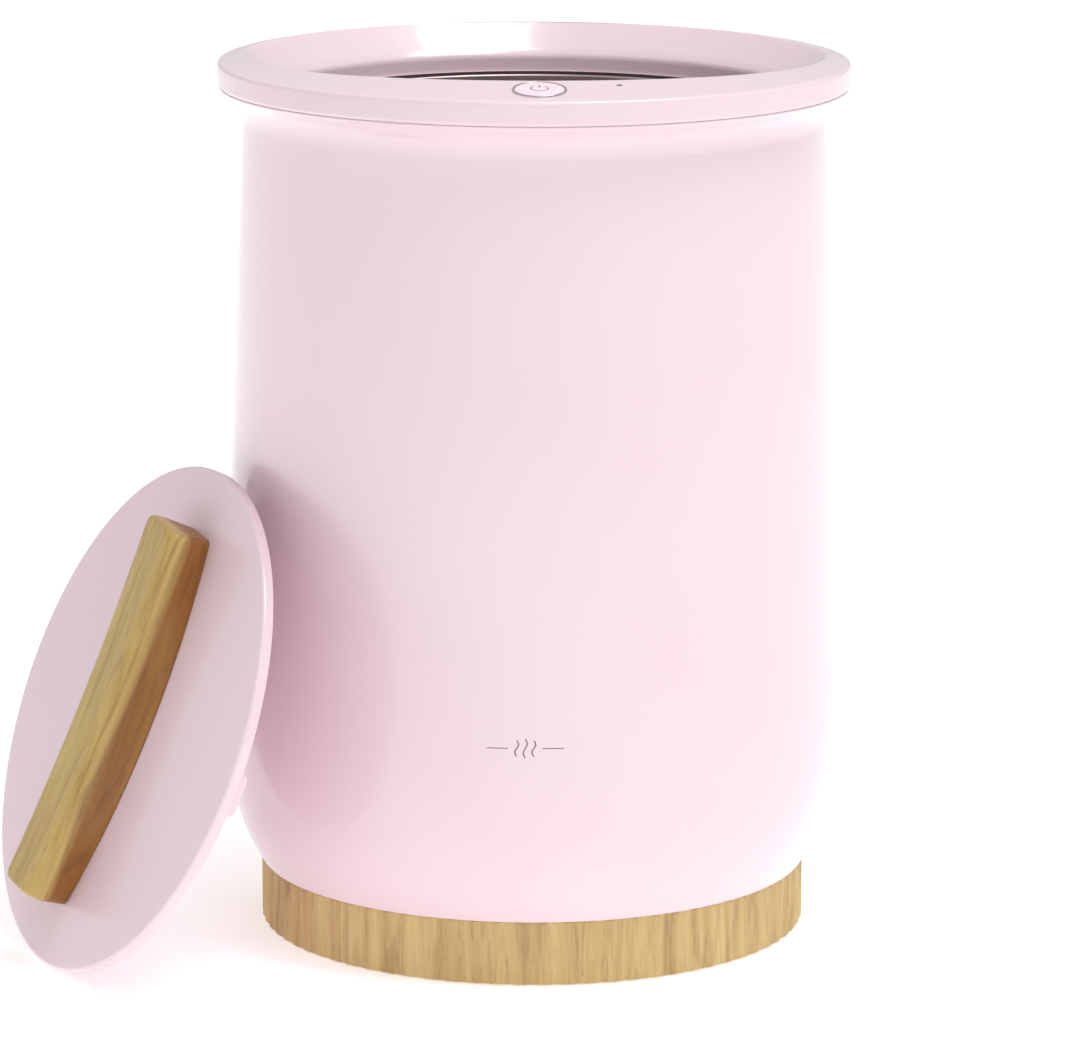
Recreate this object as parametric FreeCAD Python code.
import FreeCAD, Part
import math
import os
from FreeCAD import Matrix, Placement, Rotation, Vector

# Bucket towel warmer: a round heated bucket with a lift-off lid, a push button on the rim and a fluted
# wooden foot. The lid is off, and leans against the left of the bucket.
# Millimetres. +Z is up, the front is -Y, and the origin is on the floor under the middle of the bucket.
# r is a radius, z a height, and _in / _out are the inner and outer faces of a wall.

# ---- driving dimensions ----
RIM_R = 160.0            # outer radius of the top rim, the widest part
RIM_Z = 445.5            # height of the rim's outer top edge
RIM_BAND = 12.0          # height of the rim's upright outer band
PANEL_SLOPE = math.radians(8.1)   # the control panel falls outwards at this angle
PANEL_T = 2.6            # wall of the moulded rim
SHELL_T = 2.4            # wall of the bucket's outer shell
NECK_R, NECK_Z = 147.2, 415.0
BELLY_R, BELLY_Z = 159.3, 130.0
LIP_Z = 433.4            # top of the shell's flared lip, just under the rim
FOOT_Z = 33.0            # height of the wooden ring, where the shell starts
WELL_Y = 12.0            # the well sits this far behind the middle, to make room for the panel
POCKET_R, POCKET_DROP = 132.1, 15.6   # the lid's pocket, and its edge below RIM_Z
POCKET_WALL = 1.6
SPIGOT_R = 149.0         # inner radius of the ring that locates the rim inside the shell's lip
LEDGE_DROP = 26.3        # the ledge that the well hangs from, below RIM_Z
LEDGE_R, LEDGE_T = 128.7, 2.2
LID_SEAT_DROP = 24.0     # the top of the seal that the lid rests on, below RIM_Z
LINER_R, LINER_T = 127.2, 1.0
LINER_CORNER = 5.0       # rounding inside the well's foot
LINER_FLOOR_Z = 76.0
FLUTES = 75
FLUTE_R, FLUTE_DEPTH = 140.3, 1.9
BUTTON_X, BUTTON_Y = 2.6, -138.4
BUTTON_R = 12.25
BUTTON_TRAVEL = 1.2
LED_X, LED_Y = 41.3, -126.0
LID_R, LID_T = 131.2, 6.0
PAN_R, PAN_DEPTH = 111.5, 10.6
LID_AZIMUTH = math.radians(-153.63)   # the way the leaning lid's face looks
LID_TILT = math.radians(21.34)        # and how far up it looks
LID_X, LID_Y = -203.2, -84.2
LID_FLOOR_GAP = -0.1     # the rim is rounded, which leaves it 0.15 above the floor
HANDLE_TURN = math.radians(-6.2)     # the lid's roll in its own plane
HANDLE_HALF = 99.7       # half the handle's length
HANDLE_TOP = 21.2        # half its width at the shoulders, which is the same all along
HANDLE_FOOT_MID, HANDLE_FOOT_END = 29.4, 13.7   # half its width on the lid
HANDLE_H_MID, HANDLE_H_END = 20.9, 24.0
HANDLE_SHOULDER = 8.6
SCREW_R, GAP = 1.6, 0.15

FRONT = math.atan2(BUTTON_Y, BUTTON_X)
BOARD_DEPTH = 11.4       # the board's top below the panel's face, along the button's axis
QUARTERS = [math.radians(45 + 90 * i) for i in range(4)]
RIM_SCREW_R = 140.0
RIM_SCREW_ANGLES = [math.radians(a) for a in (10, 170, 225, 315)]


# ---- small tools ----
def edges_of(start, steps):
    """Edges through (r, z) steps: a point is a line, two points an arc, three points a Bezier curve."""
    here = Vector(start[0], 0, start[1])
    edges = []
    for step in steps:
        points = [step] if isinstance(step[0], (int, float)) else step
        ahead = [Vector(r, 0, z) for r, z in points]
        if len(ahead) == 1:
            edges.append(Part.makeLine(here, ahead[0]))
        elif len(ahead) == 2:
            edges.append(Part.Arc(here, ahead[0], ahead[1]).toShape())
        else:
            curve = Part.BezierCurve()
            curve.setPoles([here] + ahead)
            edges.append(curve.toShape())
        here = ahead[-1]
    return edges


def turned(start, *steps, y=0.0, angle=360.0):
    """The solid that a closed outline sweeps about the upright line through (0, y)."""
    wire = Part.Wire(edges_of(start, list(steps) + [start]))
    solid = Part.Face(wire).revolve(Vector(0, 0, 0), Vector(0, 0, 1), angle)
    solid.translate(Vector(0, y, 0))
    return solid


def ring(r_in, r_out, z_low, z_high, y=0.0):
    """A plain upright ring."""
    return turned((r_in, z_low), (r_out, z_low), (r_out, z_high), (r_in, z_high), y=y)


def disc(r, z_low, z_high, x=0.0, y=0.0):
    """A plain upright cylinder."""
    return Part.makeCylinder(r, z_high - z_low, Vector(x, y, z_low))


def block(low, high):
    """A box between two corners."""
    return Part.makeBox(high[0] - low[0], high[1] - low[1], high[2] - low[2], Vector(*low))


def polar(r, angle, y=0.0):
    """The x and y of a point at a radius and an angle about (0, y)."""
    return r * math.cos(angle), y + r * math.sin(angle)


def tube(points, radius, bend):
    """A round tube along straight runs joined by arcs."""
    points = [Vector(*p) for p in points]
    edges = []
    here = points[0]
    for before, corner, after in zip(points, points[1:], points[2:]):
        back = (before - corner).normalize()
        ahead = (after - corner).normalize()
        half = back.getAngle(ahead) / 2
        reach = bend / math.tan(half)
        start, end = corner + back * reach, corner + ahead * reach
        middle = corner + (back + ahead).normalize() * (bend / math.sin(half) - bend)
        edges += [Part.makeLine(here, start), Part.Arc(start, middle, end).toShape()]
        here = end
    edges.append(Part.makeLine(here, points[-1]))
    section = Part.Wire(Part.makeCircle(radius, points[0], points[1] - points[0]))
    return Part.Wire(edges).makePipeShell([section], True, False)


def fuse(first, *others):
    """One solid from several that meet."""
    return first.fuse(list(others)).removeSplitter()


def panel_z(r):
    """Height of the control panel's face at a radius."""
    return RIM_Z + (RIM_R - r) * math.tan(PANEL_SLOPE)


def panel_place(x, y):
    """Placement on the panel's face: local Z is the face's normal, local Y points outwards."""
    out = math.atan2(y, x)
    turn = Rotation(Vector(0, 0, 1), math.degrees(out) - 90)
    lean = Rotation(Vector(1, 0, 0), -math.degrees(PANEL_SLOPE))
    return Placement(Vector(x, y, panel_z(math.hypot(x, y))), turn.multiply(lean))


def placed(shape, place):
    """A copy of a shape moved from its local frame to its place."""
    shape = shape.copy()
    shape.transformShape(place.toMatrix())
    return shape


# ---- bucket ----
def outer_shell():
    """The bucket: a flared lip, a gently tapered wall, a round belly and a closed floor."""
    flare = ((147.4, 419.5), (149.0, 424.4), (153.5, 428.2))
    lip = ((156.8, 430.8), (158.2, 431.7), (158.9, 432.8))
    inset = SHELL_T
    shell = turned(
        (0, FOOT_Z), (138.6, FOOT_Z), ((139.4, FOOT_Z), (139.95, 33.3), (140.2, 33.7)),
        ((158.0, 62.7), (161.0, 93.0), (BELLY_R, BELLY_Z)), (NECK_R, NECK_Z), flare, lip,
        (158.3, LIP_Z), (156.6, LIP_Z),
        ((157.0 - inset, 432.4), (154.6 - inset, 430.7), (152.2 - inset, 429.2)),
        ((147.8 - inset, 426.0), (147.3 - inset, 420.5), (NECK_R - inset, NECK_Z)),
        (BELLY_R - inset, BELLY_Z),
        ((161.0 - inset, 95.0), (158.0 - inset, 65.0), (138.2, 36.4)), (137.2, FOOT_Z + 2.6),
        (0, FOOT_Z + 2.6))
    bosses = [disc(5.0, 5.3, FOOT_Z + 1, *polar(95, a)) for a in QUARTERS]
    lugs = [lug_block(a) for a in RIM_SCREW_ANGLES]
    shell = fuse(shell, *bosses, *lugs)
    for angle in QUARTERS:
        shell = shell.cut(disc(SCREW_R, 0, 27, *polar(95, angle)))
    for angle in RIM_SCREW_ANGLES:
        shell = shell.cut(disc(SCREW_R + GAP, 400, 420, *polar(RIM_SCREW_R, angle)))
    # the wall is thinner behind, where the pocket's wall comes close
    shell = shell.cut(disc(POCKET_R + POCKET_WALL + GAP, LEDGE_Z - LEDGE_T - 1, 431, 0, WELL_Y))
    return shell.cut(disc(7, 20, 40, 0, -58))


def lug_block(angle):
    """A lug inside the neck that a rim screw passes through, kept inside the wall."""
    lug = block((134.5, -7, 404), (150, 7, 410))
    lug.rotate(Vector(0, 0, 0), Vector(0, 0, 1), math.degrees(angle))
    return lug.common(disc(NECK_R - 1, 400, 415))


def funnel(extra):
    """The well's mouth: a round pocket below, spreading to a wide oval at the panel's crest."""
    low = RIM_Z - POCKET_DROP - extra * 0.6
    top = RIM_Z + 8
    circle = Part.makeCircle(POCKET_R + extra, Vector(0, WELL_Y, low))
    oval = Part.Ellipse(Vector(154.4 + extra, 23.2, top), Vector(0, 23.2 + 142.8 + extra, top),
                        Vector(0, 23.2, top)).toShape()
    return Part.makeLoft([Part.Wire(circle), Part.Wire(oval)], True, True)


def rim_boss_spots():
    """Where the board's bosses stand: x and y in the button's local frame."""
    return [(-34.0, 2.0), (-19.0, 6.5), (20.0, 6.5)]


def top_rim():
    """The moulded rim: upright band, sloping panel, funnel, lid pocket and the ledge under the lid."""
    low = RIM_Z - RIM_BAND
    ledge_z = RIM_Z - LEDGE_DROP
    slope = math.tan(PANEL_SLOPE)
    body = turned((0, low), (RIM_R - 1.6, low), (RIM_R, low + 1.4), (RIM_R, RIM_Z - 1.6),
                  ((RIM_R - 0.42, RIM_Z - 0.4), (RIM_R - 1.5, RIM_Z + 1.5 * slope)),
                  (112, panel_z(112)), (0, panel_z(112)))
    body = fuse(body, disc(POCKET_R + POCKET_WALL, ledge_z - LEDGE_T, low + 1, 0, WELL_Y))
    roof = [(157.4, panel_z(157.4) - PANEL_T), (100, panel_z(100) - PANEL_T)]
    cavity = turned((100, low - 1), (SPIGOT_R, low - 1), (SPIGOT_R, low + 2.2), (157.4, low + 2.2), *roof)
    cavity = cavity.cut(funnel(PANEL_T)).cut(disc(POCKET_R + POCKET_WALL, low - 2, 455, 0, WELL_Y))
    spigot = ring(SPIGOT_R, SPIGOT_R + 1.4, low - 2.9, low + 1)
    place = panel_place(BUTTON_X, BUTTON_Y)
    bosses = [placed(disc(3.0, -BOARD_DEPTH, -1.5, x, y), place) for x, y in rim_boss_spots()]
    inside = turned((0, 400), (143.4, 400), (143.4, 425), (148, low), (148, 447), (0, 447))
    posts = [disc(3.4, 410.2, 447, *polar(RIM_SCREW_R, a)).common(inside) for a in RIM_SCREW_ANGLES]
    body = fuse(body.cut(cavity), spigot, *bosses, *posts)
    seat_z = RIM_Z - LID_SEAT_DROP
    body = body.cut(funnel(0)).cut(disc(POCKET_R, seat_z, RIM_Z - POCKET_DROP + 0.01, 0, WELL_Y))
    body = body.cut(disc(FLANGE_R + 2 * GAP, ledge_z, seat_z + 1, 0, WELL_Y))
    body = body.cut(disc(LEDGE_R, ledge_z - 5, RIM_Z, 0, WELL_Y))
    for x, y in rim_boss_spots():
        body = body.cut(placed(disc(1.1, -BOARD_DEPTH - 1, -4.0, x, y), place))
    for angle in RIM_SCREW_ANGLES:
        body = body.cut(disc(SCREW_R, 400, 424, *polar(RIM_SCREW_R, angle)))
    for x, y in liner_screw_spots():
        body = body.cut(disc(1.0, 410, ledge_z - 0.6, x, y))
    body = body.cut(placed(disc(BUTTON_R + 1.05, -6, 6), place))
    return body.cut(placed(disc(1.5, -6, 6), panel_place(LED_X, LED_Y)))


def button_ring():
    """The thin metal ring round the button, with a flange that holds it under the panel."""
    inner, outer = BUTTON_R + 0.2, BUTTON_R + 1.0
    shape = turned((inner, -7.4), (outer, -7.4), (outer, 0.4), ((outer - 0.1, 0.65), (outer - 0.35, 0.75)),
                   (inner, 0.6))
    flange = ring(inner, outer + 1.8, -4.0, -2.9)
    return placed(fuse(shape, flange), panel_place(BUTTON_X, BUTTON_Y))


def power_button():
    """The round push button: a slightly domed cap, a guiding skirt and a stem over the switch."""
    cap = turned((0, -6.9 + BUTTON_TRAVEL + 0.1), (2.2, -6.9 + BUTTON_TRAVEL + 0.1), (2.2, -1.9),
                 (BUTTON_R - 1.2, -1.9), (BUTTON_R - 1.2, -5.6), (BUTTON_R, -5.6), (BUTTON_R, 0.1),
                 ((BUTTON_R - 0.15, 0.42), (BUTTON_R - 0.5, 0.55)), ((7.5, 0.86), (3.0, 0.95)), (0, 0.95))
    return placed(cap, panel_place(BUTTON_X, BUTTON_Y))


def button_spring():
    """The return spring: a coil round the switch, between the board and the cap."""
    wire_r, coil_r, turns = 0.35, 6.4, 5.0
    height = BOARD_DEPTH - 1.9 - 2 * wire_r - 0.1
    helix = Part.makeHelix(height / turns, height, coil_r)
    start = Part.Wire(Part.makeCircle(wire_r, Vector(coil_r, 0, 0), Vector(0, 1, 0.2)))
    coil = Part.Wire(helix).makePipeShell([start], True, True)
    coil.translate(Vector(0, 0, -BOARD_DEPTH + wire_r + 0.05))
    return placed(coil, panel_place(BUTTON_X, BUTTON_Y))


def board_outline(z_low, z_high):
    """The control board's shape: a slice of a ring that follows the rim."""
    inner, outer = 126.4, 148.0
    start, end = FRONT - math.radians(20), FRONT + math.radians(23)
    middle = (start + end) / 2
    corners = [Vector(*polar(r, a), 0) for r, a in
               ((inner, start), (inner, middle), (inner, end), (outer, end), (outer, middle), (outer, start))]
    wire = Part.Wire([Part.Arc(*corners[:3]).toShape(), Part.makeLine(corners[2], corners[3]),
                      Part.Arc(*corners[3:]).toShape(), Part.makeLine(corners[5], corners[0])])
    slab = Part.Face(wire).extrude(Vector(0, 0, z_high - z_low))
    slab.translate(Vector(-BUTTON_X, -BUTTON_Y, z_low))
    slab.rotate(Vector(0, 0, 0), Vector(0, 0, 1), 90 - math.degrees(FRONT))
    return slab


def control_board():
    """The flat board under the panel, drilled for its screws."""
    slab = board_outline(-BOARD_DEPTH - 1.6, -BOARD_DEPTH)
    for x, y in rim_boss_spots():
        slab = slab.cut(disc(1.3, -BOARD_DEPTH - 3, -BOARD_DEPTH + 1, x, y))
    return placed(slab, panel_place(BUTTON_X, BUTTON_Y))


def board_chips():
    """A relay, a controller and a capacitor under the board."""
    base = -BOARD_DEPTH - 1.6
    relay = block((8, -9, base - 9), (22, 1, base))
    chip = block((-14, -8, base - 1.6), (-4, 2, base))
    can = disc(3.2, base - 8, base, 30, -6)
    return placed(Part.makeCompound([relay, chip, can]), panel_place(BUTTON_X, BUTTON_Y))


def board_screws():
    """Three pan-head screws that hold the board to the rim's bosses."""
    base = -BOARD_DEPTH - 1.6
    screws = [fuse(disc(1.0, base, -5.0, x, y), disc(2.1, base - 1.3, base, x, y))
              for x, y in rim_boss_spots()]
    return placed(Part.makeCompound(screws), panel_place(BUTTON_X, BUTTON_Y))


def tactile_switch():
    """The small square switch under the button's stem."""
    body = block((-3, -3, -BOARD_DEPTH), (3, 3, -BOARD_DEPTH + 3.5))
    return placed(fuse(body, disc(1.7, -BOARD_DEPTH + 3, -6.9)), panel_place(BUTTON_X, BUTTON_Y))


def led_local():
    """The light's place in the button's local frame, on the board's top."""
    place = panel_place(BUTTON_X, BUTTON_Y)
    return place.inverse().multVec(Vector(LED_X, LED_Y, panel_z(math.hypot(LED_X, LED_Y))))


def power_led():
    """The light on the board."""
    spot = led_local()
    body = fuse(disc(1.4, -BOARD_DEPTH, -7.0, spot.x, spot.y), disc(1.8, -BOARD_DEPTH, -10.4, spot.x, spot.y))
    return placed(body, panel_place(BUTTON_X, BUTTON_Y))


def led_lens():
    """The clear pin that carries the light through the panel."""
    pin = turned((0, -4.2), (1.45, -4.2), (1.45, 0), (1.1, 0.25), (0, 0.25))
    return placed(pin, panel_place(LED_X, LED_Y))


# ---- well ----
LEDGE_Z = RIM_Z - LEDGE_DROP
FLANGE_R = 130.9         # the well's flange lies on the ledge


def inner_liner():
    """The metal well: a straight wall, a rounded foot and a flange that lies on the rim's ledge."""
    low, r_out = LINER_FLOOR_Z, LINER_R + LINER_T
    inner, outer = LINER_CORNER, LINER_CORNER + LINER_T
    bend = 1 - math.sqrt(0.5)
    return turned((0, low - LINER_T), (r_out - outer, low - LINER_T),
                  ((r_out - outer * bend, low - LINER_T + outer * bend), (r_out, low - LINER_T + outer)),
                  (r_out, LEDGE_Z), (FLANGE_R, LEDGE_Z), (FLANGE_R, LEDGE_Z + LINER_T), (LINER_R + 1, LEDGE_Z + LINER_T),
                  ((LINER_R + bend, LEDGE_Z + LINER_T - bend), (LINER_R, LEDGE_Z + LINER_T - 1)),
                  (LINER_R, low + inner), ((LINER_R - inner * bend, low + inner * bend), (LINER_R - inner, low)),
                  (0, low), y=WELL_Y)


def liner_seal():
    """The dark seal on the well's flange, which the lid rests on."""
    return ring(129.0, 130.9, LEDGE_Z + LINER_T, RIM_Z - LID_SEAT_DROP, y=WELL_Y)


def liner_screw_spots():
    """Where the clamp ring's screws stand."""
    return [polar(131.0, math.radians(60 * i), WELL_Y) for i in range(6)]


CLAMP_Z = LEDGE_Z - LEDGE_T      # the clamp ring is pulled up against the ledge's underside
CLAMP_T = 1.8


def clamp_ring():
    """The ring round the well, under the ledge, that holds the well's flange down on it."""
    shape = ring(LINER_R + LINER_T + 0.05, 132.7, CLAMP_Z - CLAMP_T, CLAMP_Z, y=WELL_Y)
    for x, y in liner_screw_spots():
        shape = shape.cut(disc(1.02, CLAMP_Z - 3, CLAMP_Z + 1, x, y))
    return shape


def liner_screws():
    """Six small screws through the clamp ring into the ledge."""
    low = CLAMP_Z - CLAMP_T
    return Part.makeCompound([fuse(disc(0.95, low, LEDGE_Z - 0.8, x, y), disc(1.8, low - 1.2, low, x, y))
                              for x, y in liner_screw_spots()])


HEATER_LOW, HEATER_HIGH = 110.0, 320.0
STRAP_Z = (150.0, 270.0)


def heater_film():
    """The flat heater wrapped round the well, open along a narrow slit at the back."""
    r_in = LINER_R + LINER_T + 0.1
    wrap = ring(r_in, r_in + 1.2, HEATER_LOW, HEATER_HIGH, y=WELL_Y)
    return wrap.cut(block((-3, WELL_Y, 0), (3, WELL_Y + 140, 400)))


def heater_straps():
    """Two metal straps that hold the heater to the well, each closed by a folded ear at the front."""
    r_in = LINER_R + LINER_T + 1.4
    straps = []
    for z in STRAP_Z:
        band = ring(r_in, r_in + 0.8, z, z + 12, y=WELL_Y)
        ear = block((-3, WELL_Y - r_in - 4.6, z), (3, WELL_Y - r_in - 0.3, z + 12))
        straps.append(fuse(band, ear))
    return Part.makeCompound(straps)


def insulation_wrap():
    """The felt sleeve round the heater, notched for the straps' ears."""
    r_in = LINER_R + LINER_T + 2.4
    sleeve = ring(r_in, r_in + 5, HEATER_LOW - 15, HEATER_HIGH + 5, y=WELL_Y)
    for z in STRAP_Z:
        sleeve = sleeve.cut(block((-3.5, WELL_Y - r_in - 7, z - 0.5), (3.5, WELL_Y - r_in + 3, z + 12.5)))
    return sleeve


def insulation_pad():
    """The felt disc under the well's floor."""
    return disc(110, 62, LINER_FLOOR_Z - LINER_T - 0.2, 0, WELL_Y)


def thermostat():
    """The round heat switch clipped to the front of the well, with its two tags."""
    back = WELL_Y - LINER_R - LINER_T - 0.1
    can = Part.makeCylinder(8.5, 7, Vector(0, back, 350), Vector(0, -1, 0))
    plate = block((-13, back - 1, 344), (13, back, 356)).cut(ring(0.1, LINER_R + LINER_T + 0.1, 300, 400, WELL_Y))
    tags = [block((x - 2.4, back - 10, 349.6), (x + 2.4, back - 6.5, 350.4)) for x in (-4.5, 4.5)]
    return fuse(can, plate, *tags).cut(disc(LINER_R + LINER_T + 0.1, 300, 400, 0, WELL_Y))


def thermal_fuse():
    """The one-shot cut-out in its sleeve, beside the heat switch."""
    angle = -90 + 14
    fuse_body = Part.makeCylinder(2.2, 16, Vector(0, -8, 0), Vector(0, 1, 0))
    leads = Part.makeCylinder(0.5, 26, Vector(0, -13, 0), Vector(0, 1, 0))
    shape = fuse(fuse_body, leads)
    shape.rotate(Vector(0, 0, 0), Vector(0, 0, 1), angle)
    x, y = polar(LINER_R + LINER_T + 3.2, math.radians(angle), WELL_Y)
    shape.translate(Vector(x, y, 350))
    return shape


def wire_harness():
    """The wires from the board, down the front, through the shell's floor to the terminal block."""
    return tube([(0, -136, 431), (0, -136, 49), (0, -58, 49), (0, -58, 21)], 3.0, 12.0)


# ---- foot ----
def flute_wire(z):
    """The foot's outline: hollow flutes that meet in sharp ridges."""
    step = 2 * math.pi / FLUTES
    edges = []
    for i in range(FLUTES):
        start, end = (i - 0.5) * step - math.pi / 2, (i + 0.5) * step - math.pi / 2
        mid = (start + end) / 2
        edges.append(Part.Arc(Vector(*polar(FLUTE_R, start), z), Vector(*polar(FLUTE_R - FLUTE_DEPTH, mid), z),
                              Vector(*polar(FLUTE_R, end), z)).toShape())
    return Part.Wire(edges)


INLET_Z = 18.0
INLET_SCREW_X = (-14.0, 14.0)
INLET_PIN_X = (-4.3, 4.3)


def base_ring():
    """The fluted wooden ring, rebated below for the base plate and cut out behind for the inlet."""
    solid = Part.Face(flute_wire(0.6)).extrude(Vector(0, 0, FOOT_Z - 0.6))
    edge = turned((0, 0), (FLUTE_R - 1.2, 0), (FLUTE_R - 1.2, 0.6), (FLUTE_R + 1, 2.5), (FLUTE_R + 1, FOOT_Z - 1.2),
                  (FLUTE_R - 0.4, FOOT_Z), (0, FOOT_Z))
    solid = solid.common(edge).cut(disc(127, 0, 50)).cut(disc(133.3, 0, 5.2))
    solid = solid.cut(block((-11.3, 100, INLET_Z - 7.3), (11.3, 150, INLET_Z + 7.3)))
    for x in INLET_SCREW_X:
        solid = solid.cut(Part.makeCylinder(1.2, 20, Vector(x, 131, INLET_Z), Vector(0, 1, 0)))
    return solid.cut(block((-18.3, 138, INLET_Z - 9.3), (18.3, 150, INLET_Z + 9.3)))


def foot_spots():
    """Where the rubber feet stand: four round the edge, and one in the middle under the load."""
    return [(0.0, 0.0)] + [polar(112, math.radians(90 * i)) for i in range(4)]


def base_plate():
    """The plate that closes the foot, with countersunk screw holes and holes for the feet."""
    plate = disc(133, 2.2, 5.1)
    for angle in QUARTERS:
        x, y = polar(95, angle)
        plate = plate.cut(Part.makeCone(3.9, 1.8, 1.9, Vector(x, y, 2.2))).cut(disc(1.8, 0, 9, x, y))
    for x, y in foot_spots():
        plate = plate.cut(disc(3.05, 0, 9, x, y))
    return plate


def base_screws():
    """Four countersunk screws through the plate into the shell's bosses."""
    screws = []
    for angle in QUARTERS:
        x, y = polar(95, angle)
        screws.append(fuse(Part.makeCone(3.8, 1.6, 1.8, Vector(x, y, 2.25)), disc(1.55, 4, 25, x, y)))
    return Part.makeCompound(screws)


def rubber_feet():
    """Five rubber feet, each with a stud pushed through the plate."""
    feet = []
    for x, y in foot_spots():
        foot = turned((0, 0), (8.2, 0), ((8.9, 0.3), (9.2, 1.0)), (9.2, 2.2), (3.0, 2.2), (3.0, 5.1), (3.5, 5.15),
                      (3.5, 5.5), (2.4, 6.6), (0, 6.6))
        foot.translate(Vector(x, y, 0))
        feet.append(foot)
    return Part.makeCompound(feet)


def stadium(half_length, r, y_low, y_high):
    """A block with round ends along X, standing along Y at the inlet's height."""
    ends = [Part.makeCylinder(r, y_high - y_low, Vector(x, y_low, INLET_Z), Vector(0, 1, 0))
            for x in (-half_length, half_length)]
    middle = block((-half_length, y_low, INLET_Z - r), (half_length, y_high, INLET_Z + r))
    return fuse(middle, *ends)


def mains_inlet():
    """The two-pin inlet socket: flange, body and the recess that the plug goes into."""
    flange = stadium(9.5, 8.0, 138.1, 139.8)
    body = block((-11, 119, INLET_Z - 7), (11, 138.2, INLET_Z + 7))
    shape = fuse(flange, body).cut(stadium(INLET_PIN_X[1], 4.9, 126, 141))
    for x in INLET_SCREW_X:
        shape = shape.cut(Part.makeCylinder(1.3, 40, Vector(x, 110, INLET_Z), Vector(0, 1, 0)))
    for x in INLET_PIN_X:
        shape = shape.cut(Part.makeCylinder(1.22, 20, Vector(x, 110, INLET_Z), Vector(0, 1, 0)))
    return shape


def inlet_pins():
    """The socket's two contact pins, with their tags inside."""
    return Part.makeCompound([Part.makeCylinder(1.2, 22, Vector(x, 113, INLET_Z), Vector(0, 1, 0))
                              for x in INLET_PIN_X])


def inlet_screws():
    """Two screws that hold the inlet to the wooden ring."""
    screws = []
    for x in INLET_SCREW_X:
        shank = Part.makeCylinder(1.2, 8, Vector(x, 132, INLET_Z), Vector(0, 1, 0))
        head = Part.makeCone(2.2, 1.8, 0.7, Vector(x, 139.8, INLET_Z), Vector(0, 1, 0))
        screws.append(fuse(shank, head))
    return Part.makeCompound(screws)


def terminal_block():
    """The screw terminals on the base plate."""
    body = block((-14, -68, 5.1), (14, -48, 18))
    for x in (-9.0, 0.0, 9.0):
        body = body.cut(disc(2.2, 12, 19, x, -64.5))
    return body


def mains_wires():
    """The two wires from the inlet to the terminal block."""
    return Part.makeCompound([Part.makeCylinder(1.3, 113 + 47.9, Vector(x, -47.9, 13), Vector(0, 1, 0))
                              for x in (-4.3, 4.3)])


def rim_screws():
    """Four screws from the shell's lugs up into the rim."""
    spots = [polar(RIM_SCREW_R, a) for a in RIM_SCREW_ANGLES]
    return Part.makeCompound([fuse(disc(SCREW_R - 0.05, 403, 422, x, y), disc(3.0, 401.6, 404, x, y))
                              for x, y in spots])


# ---- lid, in its own frame: the face is z = 0, local Z is its outward normal, the handle lies along Y ----
def lid_place():
    """Where the leaning lid is: its face's middle, with its lowest edge just off the floor."""
    cos_t, sin_t = math.cos(LID_TILT), math.sin(LID_TILT)
    normal = Vector(cos_t * math.cos(LID_AZIMUTH), cos_t * math.sin(LID_AZIMUTH), sin_t)
    side = Vector(0, 0, 1).cross(normal).normalize()
    rise = normal.cross(side)
    along = rise * math.cos(HANDLE_TURN) - side * math.sin(HANDLE_TURN)
    across = along.cross(normal)
    z = LID_R * cos_t + LID_T * sin_t + LID_FLOOR_GAP
    place = Matrix(across.x, along.x, normal.x, LID_X, across.y, along.y, normal.y, LID_Y,
                   across.z, along.z, normal.z, z, 0, 0, 0, 1)
    return Placement(place)


HANDLE_SCREW_Y = (-55.0, 55.0)


def lid_cover():
    """The lid's moulded cover: a flat disc with a rounded rim, hollow behind, and three locating lugs."""
    cover = turned((0, -2.6), (118.4, -2.6), (118.4, -LID_T), (LID_R - 0.8, -LID_T),
                   ((LID_R - 0.23, -LID_T + 0.23), (LID_R, -LID_T + 0.8)), (LID_R, -1.3),
                   ((LID_R - 0.38, -0.38), (LID_R - 1.3, 0)), (0, 0))
    lugs = []
    for i in range(3):
        lug = turned((123.4, -LID_T - 5.0), ((124.9, -LID_T - 6.0), (126.4, -LID_T - 5.0)), (126.4, -LID_T + 1),
                     (123.4, -LID_T + 1), angle=10.4)
        lug.rotate(Vector(0, 0, 0), Vector(0, 0, 1), 120 * i - 3.5)
        lugs.append(lug)
    cover = fuse(cover, *lugs)
    for y in HANDLE_SCREW_Y:
        cover = cover.cut(disc(2.2, -5, 1, 0, y))
    return cover


def lid_pan():
    """The moulded plug under the lid that faces the well."""
    low = -LID_T - PAN_DEPTH
    return turned((0, low), (PAN_R - 4, low), ((PAN_R - 1.2, low + 1.2), (PAN_R, low + 4)), (PAN_R, -LID_T + 0.4),
                  (118.0, -LID_T + 0.4), (118.0, -LID_T + 1.4), (PAN_R - 1, -LID_T + 1.4), (PAN_R - 1, low + 4),
                  ((PAN_R - 1.9, low + 1.9), (PAN_R - 4, low + 1)), (0, low + 1))


def lid_insulation():
    """The felt disc inside the lid, with room for the handle's screws."""
    felt = disc(PAN_R - 1.3, -LID_T - PAN_DEPTH + 3.2, -2.8)
    for y in HANDLE_SCREW_Y:
        felt = felt.cut(disc(6, -20, 0, 0, y))
    return felt


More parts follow.
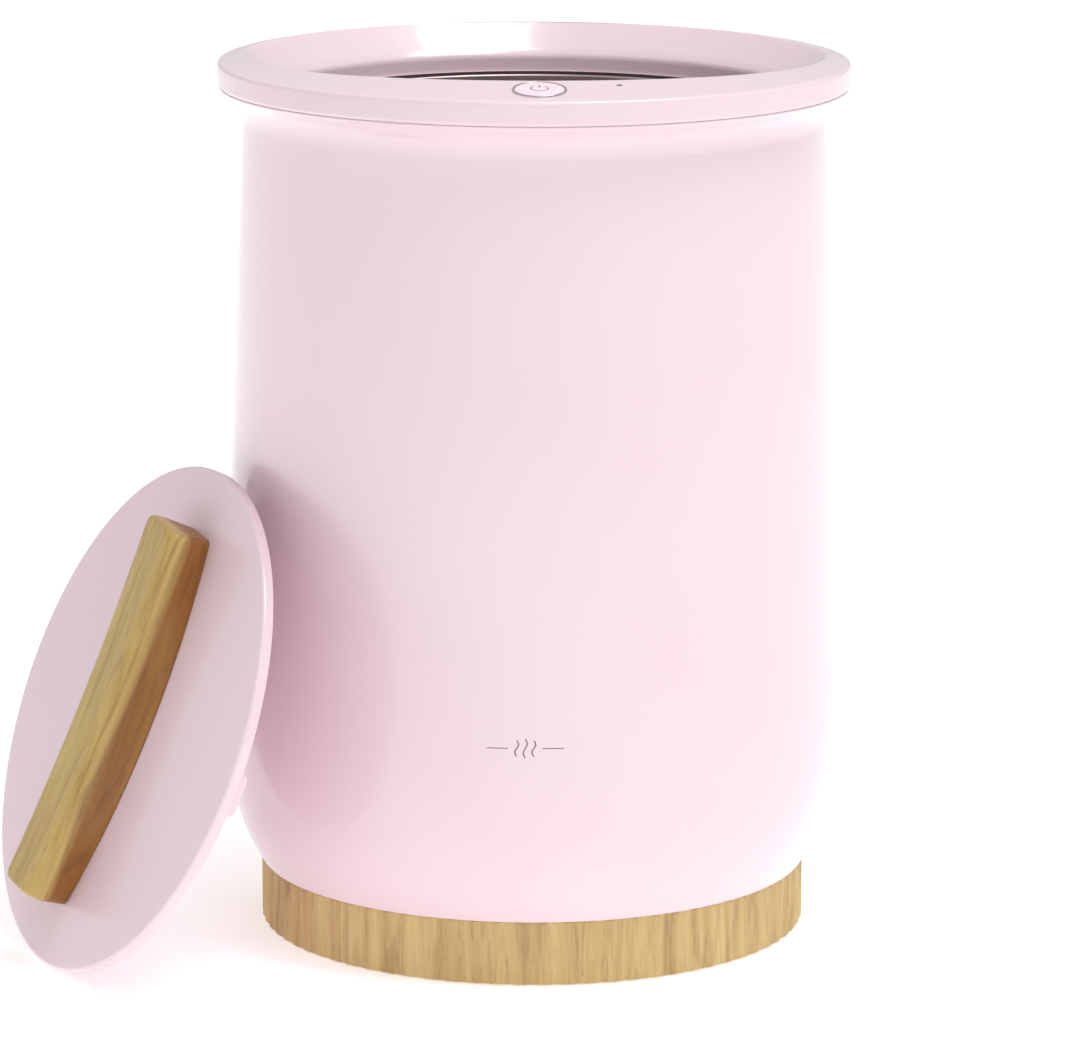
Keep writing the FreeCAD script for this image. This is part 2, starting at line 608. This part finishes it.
def handle_section(s):
    """The handle's outline at s, from -1 to 1 along its length: round shoulders over a foot of its own width."""
    top = HANDLE_TOP
    foot = HANDLE_FOOT_MID + (HANDLE_FOOT_END - HANDLE_FOOT_MID) * s * s
    height = HANDLE_H_MID + (HANDLE_H_END - HANDLE_H_MID) * s * s
    shoulder = HANDLE_SHOULDER
    y = s * HANDLE_HALF
    bend = shoulder * (1 - math.sqrt(0.5))
    right = [(foot, 0.05), (top, height - shoulder), (top - bend, height - bend), (top - shoulder, height)]
    right = [Vector(x, y, z) for x, z in right]
    left = [Vector(-p.x, p.y, p.z) for p in right]
    return Part.Wire([Part.makeLine(left[0], right[0]), Part.makeLine(right[0], right[1]),
                      Part.Arc(right[1], right[2], right[3]).toShape(), Part.makeLine(right[3], left[3]),
                      Part.Arc(left[3], left[2], left[1]).toShape(), Part.makeLine(left[1], left[0])])


def lid_handle():
    """The wooden bar handle, dished along its top and drilled for its inserts."""
    bar = Part.makeLoft([handle_section(s) for s in (-1.0, -0.5, 0.0, 0.5, 1.0)], True, False)
    upright = []
    for edge in bar.Edges:
        ends = [v.Point for v in edge.Vertexes]
        if len(ends) == 2 and abs(ends[0].x - ends[1].x) < 12 and all(abs(p.y) > 98 for p in ends) \
                and abs(ends[0].z - ends[1].z) > 6:
            upright.append(edge)
    bar = bar.makeFillet(5.0, upright) if upright else bar
    for y in HANDLE_SCREW_Y:
        bar = bar.cut(disc(3.5, -1, 12.5, 0, y))
    return bar


def handle_inserts():
    """Two brass threaded inserts in the handle's underside."""
    return Part.makeCompound([ring(2.0, 3.45, 0.1, 12).translated(Vector(0, y, 0)) for y in HANDLE_SCREW_Y])


def handle_screws():
    """Two pan-head screws from inside the lid into the inserts, each on a washer."""
    screws = []
    for y in HANDLE_SCREW_Y:
        screws.append(fuse(disc(1.95, -4.2, 10.5, 0, y), disc(4.0, -6.4, -3.6, 0, y)))
    return Part.makeCompound(screws)


def handle_washers():
    """The washers under the handle screws' heads."""
    return Part.makeCompound([ring(2.1, 5.0, -3.55, -2.65).translated(Vector(0, y, 0)) for y in HANDLE_SCREW_Y])


HOUSING = [outer_shell, top_rim, button_ring, led_lens, power_led, control_board, board_chips, board_screws,
           tactile_switch, inner_liner, liner_seal, clamp_ring, liner_screws, heater_film, heater_straps,
           insulation_wrap, insulation_pad, thermostat, thermal_fuse, wire_harness, rim_screws, base_ring,
           base_plate, base_screws, rubber_feet, mains_inlet, inlet_pins, inlet_screws, terminal_block,
           mains_wires, power_button, button_spring]
LID = [lid_cover, lid_pan, lid_insulation, lid_handle, handle_inserts, handle_screws, handle_washers]


def main():
    os.makedirs("parts", exist_ok=True)
    place = lid_place()
    nodes = [(maker.__name__, maker()) for maker in HOUSING]
    nodes += [(maker.__name__, placed(maker(), place)) for maker in LID]
    for name, shape in nodes:
        shape.exportStep("parts/" + name + ".step")
        print(name, len(shape.Solids), round(shape.Volume / 1000, 1), shape.isValid())


main()
